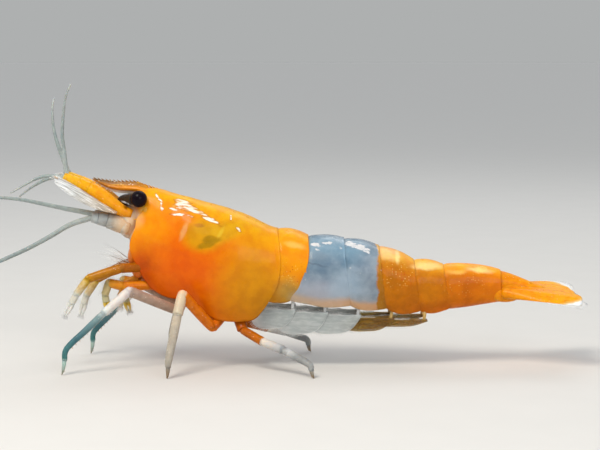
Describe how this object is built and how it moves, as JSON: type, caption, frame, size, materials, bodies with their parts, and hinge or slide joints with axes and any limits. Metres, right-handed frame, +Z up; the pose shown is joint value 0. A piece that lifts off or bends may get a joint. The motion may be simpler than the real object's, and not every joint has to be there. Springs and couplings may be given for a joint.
{
  "type": "freshwater aquarium shrimp",
  "caption": "Life-size still model of an orange freshwater aquarium shrimp with a clear band, standing on its walking legs with its feelers forward",
  "frame": {"origin": "the middle of the model's box, on the floor that it stands on", "axes": "+X from the feelers to the tail, +Y to the animal's right side, +Z up"},
  "size_m": [0.0366, 0.017, 0.0143],
  "materials": {
    "shell_orange": "smooth glossy shell over orange flesh",
    "shell_clear": "clear glossy shell over pale blue-grey flesh",
    "head_flesh": "translucent grey to beige",
    "eye_black": "black, faceted too finely to see, wet gloss",
    "peduncle_gold": "golden yellow shell",
    "scale_white": "translucent white plate with a hair fringe",
    "feeler_pale": "pale ringed feeler",
    "leg_shell": "orange near the body, translucent white towards the toes",
    "pleopod_clear": "translucent grey leaf with a hair fringe",
    "fan_gold": "golden blades with a white hair fringe"
  },
  "bodies": {
    "root": {"carapace": "shell_orange", "abdomen_1": "shell_orange", "abdomen_2": "shell_clear", "abdomen_3": "shell_clear", "abdomen_4": "shell_orange", "abdomen_5": "shell_orange", "abdomen_6": "shell_orange", "rostrum": "shell_orange", "head": "head_flesh", "eye_left": "eye_black", "eye_right": "eye_black", "eyestalk_left": "head_flesh", "eyestalk_right": "head_flesh", "antennule_peduncle_left": "peduncle_gold", "antennule_peduncle_right": "peduncle_gold", "antenna_peduncle_left": "head_flesh", "antenna_peduncle_right": "head_flesh", "antennal_scale_left": "scale_white", "antennal_scale_right": "scale_white", "antennule_flagellum_inner_left": "feeler_pale", "antennule_flagellum_inner_right": "feeler_pale", "antennule_flagellum_outer_left": "feeler_pale", "antennule_flagellum_outer_right": "feeler_pale", "antenna_flagellum_left_1": "feeler_pale", "antenna_flagellum_left_2": "feeler_pale", "antenna_flagellum_right_1": "feeler_pale", "antenna_flagellum_right_2": "feeler_pale", "maxilliped_left": "leg_shell", "maxilliped_right": "leg_shell", "leg_1_left": "leg_shell", "leg_1_right": "leg_shell", "leg_2_left": "leg_shell", "leg_2_right": "leg_shell", "leg_3_left": "leg_shell", "leg_3_right": "leg_shell", "leg_4_left": "leg_shell", "leg_4_right": "leg_shell", "leg_5_left": "leg_shell", "leg_5_right": "leg_shell", "pleopod_1_left": "pleopod_clear", "pleopod_1_right": "pleopod_clear", "pleopod_2_left": "pleopod_clear", "pleopod_2_right": "pleopod_clear", "pleopod_3_left": "pleopod_clear", "pleopod_3_right": "pleopod_clear", "pleopod_4_left": "pleopod_clear", "pleopod_4_right": "pleopod_clear", "pleopod_5_left": "pleopod_clear", "pleopod_5_right": "pleopod_clear", "telson": "fan_gold", "uropod_inner_left": "fan_gold", "uropod_inner_right": "fan_gold", "uropod_outer_left": "fan_gold", "uropod_outer_right": "fan_gold"}
  },
  "joints": []
}
